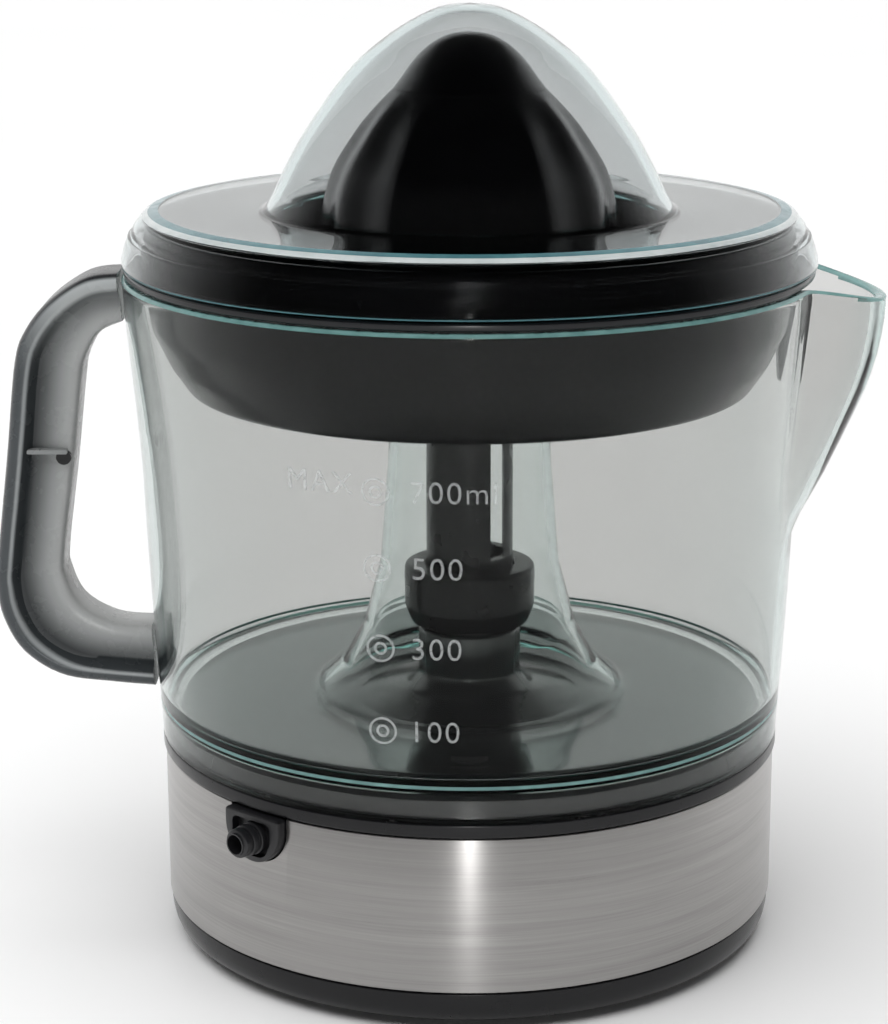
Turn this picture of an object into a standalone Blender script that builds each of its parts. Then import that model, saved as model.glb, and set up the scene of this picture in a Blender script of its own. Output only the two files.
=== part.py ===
"""Citrus press juicer with a graduated clear jug.

Lengths are in millimetres in the constants and are scaled to metres when the
meshes are made.  Heights are given above the table; the model's own origin is
on the juicer's axis, in the plane of the flat underside, so the rubber feet
reach FOOT_H below it.  +X is the spout side, -X the handle side, +Z is up.
"""
import bpy
import bmesh
import math
from mathutils import Matrix, Vector

MM = 0.001
FOOT_H = 2.0            # rubber feet stand this far below the flat underside

# driving dimensions ---------------------------------------------------------
BAND_R = 65.5           # steel band, outer radius
BAND_T = 0.8            # steel band, thickness
BAND_Z0, BAND_Z1 = 8.9, 41.2
FLANGE_R = 66.0         # flange of the top housing
PLATE_Z = 49.3          # top plate of the base
TOWER_R = 10.9          # drive tower on the base
TOWER_TOP = 65.3
COUPLING_R = 13.85
COUPLING_TOP = 79.2
STEM_R = 9.2
STEM_TOP = 171.5
JUG_RIM = 141.9
JUG_RIM_R = 71.9
JUG_WALL = 2.0
JUG_FLOOR = (50.3, 52.6)
CHIMNEY_TOP = 114.0
SPOUT_REACH = 86.7      # tip of the spout from the axis
SPOUT_LOW = 89.0        # height at which the spout leaves the wall
SPOUT_DROP = 4.7        # the spout's lip is lower than the rim
HANDLE_HALF = 9.0       # half of the handle's width
CONE_RIBS = 12
CONE_BASE = 126.0
CONE_TOP = 190.6
COVER_TOP = 196.6
SHAFT_R = 4.0
PRESS_TRAVEL = 2.5
GEAR_M = 0.8            # gear module
WHEEL_T, PINION_T = 40, 12
GEAR_GAP = 0.10         # added to each centre distance
SEG_L = 32              # facets of the large turned pieces
SEG_JUG = 48
SEG_M = 20
SEG_S = 12
SEG_XS = 10

GEAR_C = GEAR_M * (WHEEL_T + PINION_T) / 2 + GEAR_GAP
ROTOR_Y = 26.0
_phi = math.acos(ROTOR_Y / 2 / GEAR_C)
IDLER_A = math.pi / 2 + _phi
IDLER_X, IDLER_Y = GEAR_C * math.cos(IDLER_A), GEAR_C * math.sin(IDLER_A)

GLAND_A = math.radians(229.7)          # direction of the cord gland
GLAND_HALF = 7.35
GLAND_LOW = 31.0

BASE_SCREWS = [(53.0 * math.cos(math.radians(a)), 53.0 * math.sin(math.radians(a))) for a in (20, 160, 270)]
PLATE_SCREWS = [(33.0 * math.cos(math.radians(a)), 33.0 * math.sin(math.radians(a))) for a in (0, 120, 240)]
MOTOR_SCREWS = [(16.5, ROTOR_Y), (-16.5, ROTOR_Y)]
FEET = [(48.0 * math.cos(math.radians(a)), 48.0 * math.sin(math.radians(a))) for a in (45, 135, 225, 315)]

# scene ----------------------------------------------------------------------
for ob in list(bpy.data.objects):
    bpy.data.objects.remove(ob, do_unlink=True)

parts = bpy.data.collections.new("citrus_juicer")
cutters = bpy.data.collections.new("cutters")
bpy.context.scene.collection.children.link(parts)
bpy.context.scene.collection.children.link(cutters)


def material(name, rgb, rough, metal=0.0, trans=0.0):
    m = bpy.data.materials.new(name)
    m.use_nodes = True
    b = m.node_tree.nodes["Principled BSDF"]
    b.inputs["Base Color"].default_value = (*rgb, 1.0)
    b.inputs["Roughness"].default_value = rough
    b.inputs["Metallic"].default_value = metal
    b.inputs["Transmission Weight"].default_value = trans
    return m


M_BLACK = material("black_abs", (0.018, 0.018, 0.02), 0.35)
M_STEEL = material("brushed_steel", (0.52, 0.50, 0.48), 0.35, 1.0)
M_CLEAR = material("clear_plastic", (0.80, 0.84, 0.84), 0.05, 0.0, 0.9)
M_SMOKE = material("smoky_plastic", (0.20, 0.23, 0.24), 0.22)
M_CONE = material("black_gloss", (0.012, 0.012, 0.013), 0.16)
M_STRAIN = material("strainer_black", (0.022, 0.022, 0.025), 0.28)
M_RUBBER = material("rubber", (0.02, 0.02, 0.02), 0.8)
M_ZINC = material("zinc_steel", (0.55, 0.55, 0.57), 0.4, 1.0)
M_POM = material("white_pom", (0.75, 0.74, 0.70), 0.45)
M_BRONZE = material("bronze", (0.45, 0.28, 0.12), 0.4, 1.0)
M_CORE = material("laminated_core", (0.25, 0.26, 0.28), 0.5, 0.9)
M_COIL = material("coil_wire", (0.45, 0.16, 0.06), 0.4, 0.7)


def put(name, mesh, mat, collection=None):
    ob = bpy.data.objects.new(name, mesh)
    (collection or parts).objects.link(ob)
    if mat is not None:
        mesh.materials.clear()
        mesh.materials.append(mat)
    return ob


def level(z):
    """height above the table -> model z"""
    return z - FOOT_H


def area2(profile):
    s = 0.0
    for (x0, y0), (x1, y1) in zip(profile, profile[1:] + profile[:1]):
        s += x0 * y1 - x1 * y0
    return s


def turned(name, profile, seg, mat, collection=None, at=(0.0, 0.0), tilt=None):
    """Turn a profile of (radius, height) about a vertical axis at `at`.

    A profile that starts and ends on the axis is open; any other is a closed
    ring.  It runs down its outer side."""
    pts = list(profile)
    if area2(pts) > 0:
        pts.reverse()
    on_axis = [i for i, p in enumerate(pts) if p[0] == 0.0]
    closed = not on_axis
    if not closed:
        # start at the upper axis point
        first = max(on_axis, key=lambda i: pts[i][1])
        pts = pts[first:] + pts[:first]
        if pts[1][0] == 0.0:
            pts = pts[1:] + pts[:1]
            pts.reverse()
    me = bpy.data.meshes.new(name)
    bm = bmesh.new()
    vs = [bm.verts.new((r * MM, 0.0, (level(z) if tilt is None else z) * MM)) for r, z in pts]
    for a, b in zip(vs, vs[1:]):
        bm.edges.new((a, b))
    if closed:
        bm.edges.new((vs[-1], vs[0]))
    bm.to_mesh(me)
    bm.free()
    ob = put(name, me, mat, collection)
    sc = ob.modifiers.new("turn", 'SCREW')
    sc.axis = 'Z'
    sc.angle = 2 * math.pi
    sc.steps = seg
    sc.render_steps = seg
    sc.use_merge_vertices = True
    sc.merge_threshold = 1e-6
    sc.use_smooth_shade = True
    if tilt is None:
        ob.location = (at[0] * MM, at[1] * MM, 0.0)
    else:
        ob.matrix_world = tilt
    return ob


def frozen(ob):
    """Replace an object by its evaluated mesh, in world space."""
    bpy.context.view_layer.update()
    dg = bpy.context.evaluated_depsgraph_get()
    me = bpy.data.meshes.new_from_object(ob.evaluated_get(dg))
    me.transform(ob.matrix_world)
    name, mats, cols = ob.name, list(ob.data.materials), list(ob.users_collection)
    bpy.data.objects.remove(ob, do_unlink=True)
    bm = bmesh.new()
    bm.from_mesh(me)
    bmesh.ops.remove_doubles(bm, verts=bm.verts, dist=1e-6)
    bm.to_mesh(me)
    bm.free()
    new = bpy.data.objects.new(name, me)
    cols[0].objects.link(new)
    me.materials.clear()
    for m in mats:
        me.materials.append(m)
    return new


def box(name, lo, hi, mat, collection=None):
    me = bpy.data.meshes.new(name)
    bm = bmesh.new()
    bmesh.ops.create_cube(bm, size=1.0)
    for v in bm.verts:
        v.co = Vector([((l + h) / 2 + c * (h - l)) * MM for c, l, h in zip(v.co, lo, hi)])
    bm.to_mesh(me)
    bm.free()
    ob = put(name, me, mat, collection)
    ob.location = (0.0, 0.0, -FOOT_H * MM)
    return ob


def rod(name, r, z0, z1, at, mat, seg=SEG_S, collection=None):
    return turned(name, [(0.0, z1), (r, z1), (r, z0), (0.0, z0)], seg, mat, collection, at)


def cutter(ob):
    ob.hide_render = True
    ob.display_type = 'WIRE'
    return ob


def cut(target, tool, op='DIFFERENCE'):
    cutter(tool)
    m = target.modifiers.new("cut", 'BOOLEAN')
    m.operation = op
    m.object = tool
    m.solver = 'EXACT'
    return m


def cut_rods(target, tag, rods, seg=SEG_S):
    """cut vertical holes (x, y, r, z0, z1) with one cutter"""
    me = bpy.data.meshes.new(tag)
    bm = bmesh.new()
    for x, y, r, z0, z1 in rods:
        mat = Matrix.Translation((x * MM, y * MM, level((z0 + z1) / 2) * MM))
        bmesh.ops.create_cone(bm, cap_ends=True, segments=seg, radius1=r * MM, radius2=r * MM,
                              depth=(z1 - z0) * MM, matrix=mat)
    bm.to_mesh(me)
    bm.free()
    tool = put(tag, me, None, cutters)
    cut(target, tool)
    return tool


def join_rods(target, tag, rods, seg=SEG_S):
    """add vertical posts (x, y, r, z0, z1) that run into the piece"""
    me = bpy.data.meshes.new(tag)
    bm = bmesh.new()
    for x, y, r, z0, z1 in rods:
        mat = Matrix.Translation((x * MM, y * MM, level((z0 + z1) / 2) * MM))
        bmesh.ops.create_cone(bm, cap_ends=True, segments=seg, radius1=r * MM, radius2=r * MM,
                              depth=(z1 - z0) * MM, matrix=mat)
    bm.to_mesh(me)
    bm.free()
    tool = put(tag, me, None, cutters)
    cut(target, tool, 'UNION')
    return tool


def spline_poly(curve, pts):
    s = curve.splines.new('POLY')
    s.points.add(len(pts) - 1)
    for p, q in zip(s.points, pts):
        p.co = (q[0] * MM, q[1] * MM, (q[2] if len(q) > 2 else 0.0) * MM, 1.0)
    s.use_cyclic_u = True
    return s


def flat(name, outlines, half, mat, collection=None):
    """extrude closed flat outlines (the later ones are holes) by +-half"""
    cu = bpy.data.curves.new(name, 'CURVE')
    cu.dimensions = '2D'
    cu.fill_mode = 'BOTH'
    cu.extrude = half * MM
    for pts in outlines:
        spline_poly(cu, pts)
    ob = bpy.data.objects.new(name, cu)
    (collection or parts).objects.link(ob)
    cu.materials.append(mat) if mat is not None else None
    return ob


def circle_pts(r, n, cx=0.0, cy=0.0, a0=0.0):
    return [(cx + r * math.cos(a0 + 2 * math.pi * i / n), cy + r * math.sin(a0 + 2 * math.pi * i / n)) for i in range(n)]


def gear_pts(teeth, phase):
    """outline of a spur gear; a tooth is centred on the angle `phase`"""
    rp = GEAR_M * teeth / 2
    ra, rf = rp + 0.80 * GEAR_M, rp - 1.05 * GEAR_M
    pitch = 2 * math.pi / teeth
    half_tip = 0.30 * GEAR_M / ra
    half_root = 0.90 * GEAR_M / rf
    out = []
    for i in range(teeth):
        c = phase + i * pitch
        for r, a in ((rf, -half_root), (ra, -half_tip), (ra, half_tip), (rf, half_root)):
            out.append((r * math.cos(c + a), r * math.sin(c + a)))
    return out


def gear(name, teeth, phase, bore, z0, z1, at, mat):
    ob = flat(name, [gear_pts(teeth, phase), circle_pts(bore, SEG_S)], (z1 - z0) / 2, mat)
    ob.location = (at[0] * MM, at[1] * MM, level((z0 + z1) / 2) * MM)
    return frozen(ob)


def smooth_path(pts, n):
    """Catmull-Rom points through a list of 2-D points"""
    out = []
    for i in range(len(pts) - 1):
        p0 = pts[max(i - 1, 0)]
        p1, p2 = pts[i], pts[i + 1]
        p3 = pts[min(i + 2, len(pts) - 1)]
        for k in range(n):
            t = k / n
            out.append(tuple(0.5 * ((2 * b) + (-a + c) * t + (2 * a - 5 * b + 4 * c - d) * t * t
                                    + (-a + 3 * b - 3 * c + d) * t ** 3)
                             for a, b, c, d in zip(p0, p1, p2, p3)))
    out.append(pts[-1])
    return out


# base shell -------------------------------------------------------------------
base_bottom = turned("base_bottom", [
    (0.0, 4.0), (9.6, 4.0), (9.6, 12.0), (11.5, 12.0), (11.5, 4.0),
    (59.6, 4.0), (61.3, 6.0), (61.3, 15.0), (63.3, 15.0), (63.3, 8.6),
    (65.2, 8.6), (65.0, 5.8), (64.5, 3.4), (63.9, 2.4), (62.9, 2.0),
    (15.6, 2.0), (15.2, 2.5), (14.4, 2.5), (14.0, 2.0), (0.0, 2.0)], SEG_L, M_BLACK)
join_rods(base_bottom, "tool_base_posts",
          [(x, y, 4.8, 3.0, 6.0) for x, y in BASE_SCREWS] + [(x, y, 4.0, 3.0, 5.9) for x, y in MOTOR_SCREWS])
cut_rods(base_bottom, "tool_base_holes",
         [(x, y, 1.8, 1.0, 7.0) for x, y in BASE_SCREWS])
cut_rods(base_bottom, "tool_base_sinks",
         [(x, y, 3.6, 1.0, 4.6) for x, y in BASE_SCREWS] + [(x, y, 5.3, 1.0, 3.2) for x, y in FEET])
cut_rods(base_bottom, "tool_motor_bores", [(x, y, 1.7, 3.4, 7.0) for x, y in MOTOR_SCREWS], SEG_XS)
vents = bpy.data.meshes.new("tool_vents")
bm = bmesh.new()
for vx in (-11.5, -7.5, 7.5, 11.5):
    bmesh.ops.create_cube(bm, size=1.0, matrix=Matrix.Translation((vx * MM, 40.0 * MM, 1.0 * MM))
                          @ Matrix.Diagonal((2.0 * MM, 15.0 * MM, 8.0 * MM, 1.0)))
bm.to_mesh(vents)
bm.free()
cut(base_bottom, put("tool_vents", vents, None, cutters))

steel_band = turned("steel_band", [
    (BAND_R - BAND_T, BAND_Z1), (BAND_R, BAND_Z1), (BAND_R, BAND_Z0), (BAND_R - BAND_T, BAND_Z0)], SEG_L, M_STEEL)

base_top = turned("base_top", [
    (6.5, TOWER_TOP), (TOWER_R, TOWER_TOP), (TOWER_R, 55.0), (13.5, 51.5), (21.0, PLATE_Z + 0.5), (24.0, PLATE_Z),
    (61.6, PLATE_Z), (62.5, 48.4), (62.6, 44.5), (FLANGE_R, 44.5), (FLANGE_R, 41.5), (64.3, 41.5), (64.3, 36.5),
    (62.3, 36.5), (62.3, 42.6), (60.4, 47.0), (20.0, 47.2), (8.9, 50.5), (8.9, 63.3), (6.5, 63.3)], SEG_L, M_BLACK)
join_rods(base_top, "tool_top_posts",
          [(x, y, 3.8, 6.3, 48.0) for x, y in BASE_SCREWS] + [(x, y, 3.4, 39.8, 48.0) for x, y in PLATE_SCREWS])
cut_rods(base_top, "tool_top_holes",
         [(x, y, 1.8, 5.0, 19.0) for x, y in BASE_SCREWS] + [(x, y, 1.7, 39.0, 45.5) for x, y in PLATE_SCREWS], SEG_XS)

for i, (x, y) in enumerate(FEET):
    turned("foot_%d" % (i + 1), [(0.0, 2.9), (5.0, 2.9), (5.0, 1.7), (7.0, 1.7), (7.0, 0.5), (6.5, 0.0), (0.0, 0.0)],
           SEG_S, M_RUBBER, None, (x, y))

for i, (x, y) in enumerate(BASE_SCREWS):
    turned("base_screw_%d" % (i + 1), [(0.0, 18.0), (1.5, 17.0), (1.5, 4.3), (3.2, 4.3), (3.2, 2.5), (0.0, 2.5)],
           SEG_XS, M_ZINC, None, (x, y))

# cord gland -------------------------------------------------------------------
gd = Vector((math.cos(GLAND_A), math.sin(GLAND_A), 0.0))
gt = Vector((-gd.y, gd.x, 0.0))
GLAND_CZ = GLAND_LOW + GLAND_HALF
GLAND_BORE_Z = GLAND_LOW + 5.0      # height of the cord opening


def gland_frame(reach, z):
    m = Matrix.Identity(4)
    m.col[0][:3] = gt
    m.col[1][:3] = (0.0, 0.0, 1.0)
    m.col[2][:3] = gd
    m.col[3][:3] = gd * reach * MM + Vector((0.0, 0.0, level(z) * MM))
    return m


def gland_outline(grow, top):
    pts = [(GLAND_HALF + grow, top), (-(GLAND_HALF + grow), top)]
    for k in range(9):
        a = math.pi + math.pi * k / 8
        pts.append(((GLAND_HALF + grow) * math.cos(a), (GLAND_HALF + grow) * math.sin(a)))
    return pts


def gland_prism(name, grow, top, r0, r1, mat, collection=None):
    ob = flat(name, [gland_outline(grow, top)], (r1 - r0) / 2, mat, collection)
    ob.matrix_world = gland_frame((r0 + r1) / 2, GLAND_CZ)
    return frozen(ob)


notch = gland_prism("tool_gland_notch", 0.3, BAND_Z1 + 0.15 - GLAND_CZ, 55.0, 75.0, None, cutters)
cut(steel_band, notch)
cut(base_top, notch)

cord_gland = gland_prism("cord_gland", 0.0, BAND_Z1 - GLAND_CZ, 58.0, 67.4, M_BLACK)
cut(cord_gland, turned("tool_gland_recess", [(0.0, 8.0), (4.2, 8.0), (4.2, 0.0), (2.4, 0.0), (2.4, -8.0), (0.0, -8.0)],
                       SEG_S, None, cutters, tilt=gland_frame(62.0, GLAND_BORE_Z)))
sleeve = []
for k in range(5):
    r0 = 3.85 - 0.2 * k
    z0 = 0.4 + 1.95 * k
    sleeve += [(r0, z0), (r0 - 0.1, z0 + 1.2), (r0 - 0.75, z0 + 1.3), (r0 - 0.78, z0 + 1.8)]
turned("gland_sleeve", [(2.0, 0.4)] + sleeve + [(2.0, sleeve[-1][1])], SEG_S, M_RUBBER,
       tilt=gland_frame(62.0, GLAND_BORE_Z))

# press mechanism and switch -----------------------------------------------------
press_slider = turned("press_slider", [
    (0.0, 16.5), (9.2, 16.5), (9.2, 7.5), (7.7, 7.5), (7.7, 14.4), (0.0, 14.4)], SEG_M, M_POM)
cut(press_slider, box("tool_slider_arm", (6.5, -3.0, 14.5), (24.0, 3.0, 16.4), None, cutters), 'UNION')

coil_pts = []
TURNS, PER = 3.5, 10
for i in range(int(TURNS * PER) + 1):
    a = 2 * math.pi * i / PER
    coil_pts.append((5.5 * math.cos(a), 5.5 * math.sin(a), level(5.0 + (13.6 - 5.0) * i / (TURNS * PER))))
cu = bpy.data.curves.new("return_spring", 'CURVE')
cu.dimensions = '3D'
s = spline_poly(cu, coil_pts)
s.use_cyclic_u = False
cu.bevel_depth = 0.5 * MM
cu.bevel_resolution = 1
cu.use_fill_caps = True
cu.materials.append(M_ZINC)
spring = bpy.data.objects.new("return_spring", cu)
parts.objects.link(spring)

switch_body = box("switch_body", (14.0, -5.0, 4.3), (27.0, 5.0, 11.4), M_BLACK)
cut_rods(switch_body, "tool_switch_bore", [(20.0, 0.0, 1.7, 5.6, 12.5)], SEG_S)
rod("switch_button", 1.3, 8.7, 14.1, (20.0, 0.0), M_POM, SEG_S)

# drive line ---------------------------------------------------------------------
rod("output_shaft", SHAFT_R, 16.9, 76.2, (0.0, 0.0), M_ZINC, SEG_M)
gear("output_gear", WHEEL_T, IDLER_A, SHAFT_R + 0.3, 24.0, 29.0, (0.0, 0.0), M_POM)
turned("drive_coupling", [
    (9.5, COUPLING_TOP), (COUPLING_R, COUPLING_TOP), (COUPLING_R, 70.2), (12.5, 66.5), (11.5, 66.5),
    (11.5, 68.6), (SHAFT_R + 0.3, 68.6), (SHAFT_R + 0.3, 71.5), (9.5, 71.5)], SEG_M, M_BLACK)
turned("tower_bush", [(SHAFT_R + 0.3, 60.0), (8.6, 60.0), (8.6, 54.0), (SHAFT_R + 0.3, 54.0)], SEG_M, M_BRONZE)
turned("tower_seal", [(SHAFT_R + 0.2, 63.0), (8.6, 63.0), (8.6, 60.4), (SHAFT_R + 0.2, 60.4)], SEG_M, M_RUBBER)

gear_plate = turned("gear_plate", [(7.3, 39.5), (40.0, 39.5), (40.0, 37.5), (7.3, 37.5)], SEG_L, M_POM)
cut_rods(gear_plate, "tool_plate_holes",
         [(x, y, 1.8, 36.0, 41.0) for x, y in PLATE_SCREWS] + [(IDLER_X, IDLER_Y, 1.8, 36.0, 41.0)], SEG_XS)
turned("output_bush", [(SHAFT_R + 0.3, 40.6), (7.0, 40.6), (7.0, 36.6), (SHAFT_R + 0.3, 36.6)], SEG_M, M_BRONZE)
for i, (x, y) in enumerate(PLATE_SCREWS):
    turned("gear_plate_screw_%d" % (i + 1), [(0.0, 45.0), (1.3, 44.2), (1.3, 37.2), (3.0, 37.2), (3.0, 35.4), (0.0, 35.4)],
           SEG_XS, M_ZINC, None, (x, y))

rod("idler_axle", 1.5, 19.6, 40.2, (IDLER_X, IDLER_Y), M_ZINC, SEG_S)
ROTOR_A = math.atan2(ROTOR_Y - IDLER_Y, -IDLER_X)      # from the idler to the rotor
half12, half40 = math.pi / PINION_T, math.pi / WHEEL_T
idler = gear("idler_gear", WHEEL_T, ROTOR_A, 1.8, 31.0, 35.0, (IDLER_X, IDLER_Y), M_POM)
pin = gear("tool_idler_pinion", PINION_T, IDLER_A + math.pi + half12, 1.8, 21.0, 32.0, (IDLER_X, IDLER_Y), M_POM)
parts.objects.unlink(pin)
cutters.objects.link(pin)
cut(idler, pin, 'UNION')

# motor --------------------------------------------------------------------------
turned("motor_rotor", [(2.3, 19.2), (9.5, 19.2), (9.5, 6.0), (2.3, 6.0)], SEG_M, M_CORE, None, (0.0, ROTOR_Y))
rod("rotor_shaft", 2.0, 4.6, 36.8, (0.0, ROTOR_Y), M_ZINC, SEG_S)
gear("rotor_pinion", PINION_T, ROTOR_A + math.pi + half12, 2.3, 30.6, 35.6, (0.0, ROTOR_Y), M_BRONZE)
stator = box("motor_stator", (-20.0, 12.2, 6.2), (20.0, 38.0, 19.0), M_CORE)
cut(stator, box("tool_stator_arm_l", (-20.0, 37.0, 6.2), (-13.0, 50.0, 19.0), None, cutters), 'UNION')
cut(stator, box("tool_stator_arm_r", (13.0, 37.0, 6.2), (20.0, 50.0, 19.0), None, cutters), 'UNION')
cut(stator, box("tool_stator_bar", (-15.0, 43.0, 6.2), (15.0, 50.0, 19.0), None, cutters), 'UNION')
cut_rods(stator, "tool_stator_bore", [(0.0, ROTOR_Y, 10.1, 4.0, 21.0)], SEG_M)
cut_rods(stator, "tool_stator_holes", [(x, y, 1.7, 4.0, 21.0) for x, y in MOTOR_SCREWS], SEG_XS)
coil = box("motor_coil", (-11.5, 40.3, 4.6), (11.5, 52.7, 20.6), M_COIL)
cut(coil, box("tool_coil_window", (-14.0, 42.6, 5.8), (14.0, 50.4, 19.4), None, cutters))
strap = box("motor_strap", (-20.0, 21.0, 19.4), (20.0, 31.0, 20.6), M_ZINC)
cut_rods(strap, "tool_strap_holes", [(x, y, 1.7, 18.0, 22.0) for x, y in MOTOR_SCREWS] + [(0.0, ROTOR_Y, 4.1, 18.0, 22.0)], SEG_S)
turned("rotor_bush_upper", [(2.3, 22.4), (3.8, 22.4), (3.8, 19.4), (2.3, 19.4)], SEG_S, M_BRONZE, None, (0.0, ROTOR_Y))
turned("rotor_bush_lower", [(2.3, 5.7), (4.2, 5.7), (4.2, 4.3), (2.3, 4.3)], SEG_S, M_BRONZE, None, (0.0, ROTOR_Y))
for i, (x, y) in enumerate(MOTOR_SCREWS):
    turned("motor_screw_%d" % (i + 1), [(0.0, 22.6), (3.0, 22.6), (3.0, 20.9), (1.3, 20.9), (1.3, 3.7), (0.0, 3.7)],
           SEG_XS, M_ZINC, None, (x, y))

# stem and reamers -----------------------------------------------------------------
stem = turned("drive_stem", [
    (7.4, STEM_TOP), (STEM_R, STEM_TOP), (STEM_R, 71.8), (SHAFT_R + 0.4, 71.8), (SHAFT_R + 0.4, 78.0), (7.4, 80.0)],
    SEG_M, M_BLACK)
cut(stem, box("tool_stem_slot", (4.35, -12.0, 81.5), (7.05, 12.0, 139.0), None, cutters))

CONE_OUT = [(15.8, 179.2), (19.9, 175.1), (23.7, 170.3), (28.2, 163.0), (30.3, 156.0), (31.2, 150.0), (33.0, 131.0)]
CONE_IN = [(31.2, 131.0), (29.4, 150.0), (28.0, 156.0), (25.6, 162.0), (18.9, 171.6), (14.6, 176.6)]
cone_large = turned("cone_large", CONE_OUT + [(34.6, 128.2), (34.6, CONE_BASE), (31.8, CONE_BASE)] + CONE_IN
                    + [(14.6, 178.6)], CONE_RIBS * 4, M_CONE)
cone_large = frozen(cone_large)
for v in cone_large.data.vertices:
    r = math.hypot(v.co.x, v.co.y) / MM
    z = v.co.z / MM + FOOT_H
    if 130.0 < z < 177.0:
        # only the outer skin is fluted
        outer = None
        for (r0, z0), (r1, z1) in zip(CONE_OUT, CONE_OUT[1:]):
            if z1 - 0.01 <= z <= z0 + 0.01:
                outer = r0 + (r1 - r0) * (z - z0) / (z1 - z0)
        if outer is not None and r > outer - 0.4:
            a = math.atan2(v.co.y, v.co.x)
            dip = 1.2 * (0.5 - 0.5 * math.cos(CONE_RIBS * a)) * min(1.0, (177.0 - z) / 10.0) * min(1.0, (z - 129.0) / 8.0)
            v.co.x *= (r - dip) / r
            v.co.y *= (r - dip) / r
turned("cone_small", [
    (0.0, CONE_TOP), (5.0, 189.6), (9.0, 187.0), (12.2, 184.0), (15.4, 179.6), (14.1, 179.3), (13.6, 170.0),
    (13.6, 144.0), (9.5, 144.0), (9.5, 172.0), (0.0, 173.5)], SEG_M, M_CONE)

# jug ------------------------------------------------------------------------------
JUG_OUT = [(JUG_RIM_R, JUG_RIM), (71.3, 132.0), (70.0, 118.0), (68.9, 104.0), (68.3, SPOUT_LOW), (67.2, 65.0), (66.0, 44.5)]
JUG_IN = [(63.3, JUG_FLOOR[1]), (64.6, 54.2), (65.2, 66.0), (66.3, SPOUT_LOW), (66.9, 104.0), (68.0, 118.0), (69.3, 132.0),
          (JUG_RIM_R - JUG_WALL, JUG_RIM)]
jug = turned("jug", JUG_OUT + [
    (63.9, 44.5), (63.9, JUG_FLOOR[0]), (32.0, JUG_FLOOR[0]), (25.4, 56.2), (20.8, 65.6), (17.2, 80.0), (15.4, 103.0),
    (15.0, CHIMNEY_TOP), (16.8, CHIMNEY_TOP), (17.2, 103.0), (19.0, 80.0), (22.6, 66.0), (27.2, 57.6), (33.0, JUG_FLOOR[1])]
    + JUG_IN, SEG_JUG, M_CLEAR)
jug = frozen(jug)

SPOUT_LINE = [(68.3, SPOUT_LOW), (76.8, 104.0), (83.1, 118.0), (86.6, 132.0), (SPOUT_REACH, JUG_RIM)]
SPOUT_PLAN = [(0.0, 1.0), (5.0, 0.93), (7.5, 0.86), (10.5, 0.62), (14.2, 0.33), (18.0, 0.09), (21.5, 0.0)]


def lerp(table, x):
    for (x0, y0), (x1, y1) in zip(table, table[1:]):
        if x0 <= x <= x1:
            return y0 + (y1 - y0) * (x - x0) / (x1 - x0)
    return table[0][1] if x < table[0][0] else table[-1][1]


spout_r = [(z, r) for r, z in SPOUT_LINE]
wall_r = sorted((z, r) for r, z in JUG_OUT)
for v in jug.data.vertices:
    r = math.hypot(v.co.x, v.co.y) / MM
    z = v.co.z / MM + FOOT_H
    a = math.degrees(math.atan2(v.co.y, v.co.x))
    if r > 60.0 and z > SPOUT_LOW + 0.1 and abs(a) < 21.5:
        g = lerp(SPOUT_PLAN, abs(a))
        wall = lerp(wall_r, z)
        push = (lerp(spout_r, z) - wall) * g
        if r < wall - 1.0:
            push -= 0.35 * g
        v.co.x *= (r + push) / r
        v.co.y *= (r + push) / r
        if z > JUG_RIM - 0.1:
            v.co.z -= SPOUT_DROP * g * MM

HANDLE_OUT = [(-72.5, 142.2), (-79.4, 141.2), (-86.9, 136.4), (-92.0, 130.2), (-94.5, 123.3), (-96.8, 104.4),
              (-99.7, 81.8), (-100.3, 75.3), (-99.0, 68.1), (-94.9, 60.8), (-86.9, 55.6), (-76.2, 54.0), (-67.1, 53.2)]
HANDLE_IN = [(-67.8, 66.0), (-75.8, 66.8), (-82.6, 70.7), (-85.5, 76.6), (-85.9, 81.8), (-83.3, 100.5), (-81.1, 118.3),
             (-80.0, 124.0), (-76.7, 129.6), (-71.9, 131.9)]
ho = smooth_path(HANDLE_OUT, 2)
hi = smooth_path(HANDLE_IN, 2)
xmin = min(p[0] for p in ho)
handle = flat("jug_handle", [[(x, level(z)) for x, z in ho + hi]], HANDLE_HALF, M_SMOKE)
handle.rotation_euler = (math.pi / 2, 0.0, 0.0)

# strainer: a bowl with a ledge, and the slotted sieve plate that sits on it -------
turned("strainer", [
    (66.3, 152.3), (67.2, 147.5), (67.8, 144.0), (71.5, 143.9), (71.5, 142.3), (67.7, 142.2), (66.9, 140.0),
    (65.9, 132.0), (62.6, 124.6), (58.5, 118.5), (56.5, 117.7), (50.5, 117.7), (50.5, 118.6), (53.4, 118.6),
    (53.4, 119.8), (55.8, 119.8), (57.5, 120.6), (61.0, 125.7), (64.0, 132.6), (65.2, 144.0), (64.4, 152.3)],
    SEG_L, M_STRAIN)
sieve = turned("sieve_plate", [
    (9.9, 117.7), (9.9, 140.0), (12.2, 140.0), (12.8, 119.8), (53.0, 119.8), (53.0, 118.9), (50.2, 118.9), (50.2, 117.7)],
    SEG_L, M_STRAIN)
slots = bpy.data.meshes.new("tool_strainer_slots")
bm = bmesh.new()
N_SLOT = 16
for k in range(N_SLOT):
    a = 2 * math.pi * (k + 0.5) / N_SLOT
    bmesh.ops.create_cube(bm, size=1.0, matrix=Matrix.Rotation(a, 4, 'Z') @ Matrix.Translation((42.0 * MM, 0.0, level(118.8) * MM))
                          @ Matrix.Diagonal((13.0 * MM, 1.6 * MM, 8.0 * MM, 1.0)))
bm.to_mesh(slots)
bm.free()
cut(sieve, put("tool_strainer_slots", slots, None, cutters))

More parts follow.
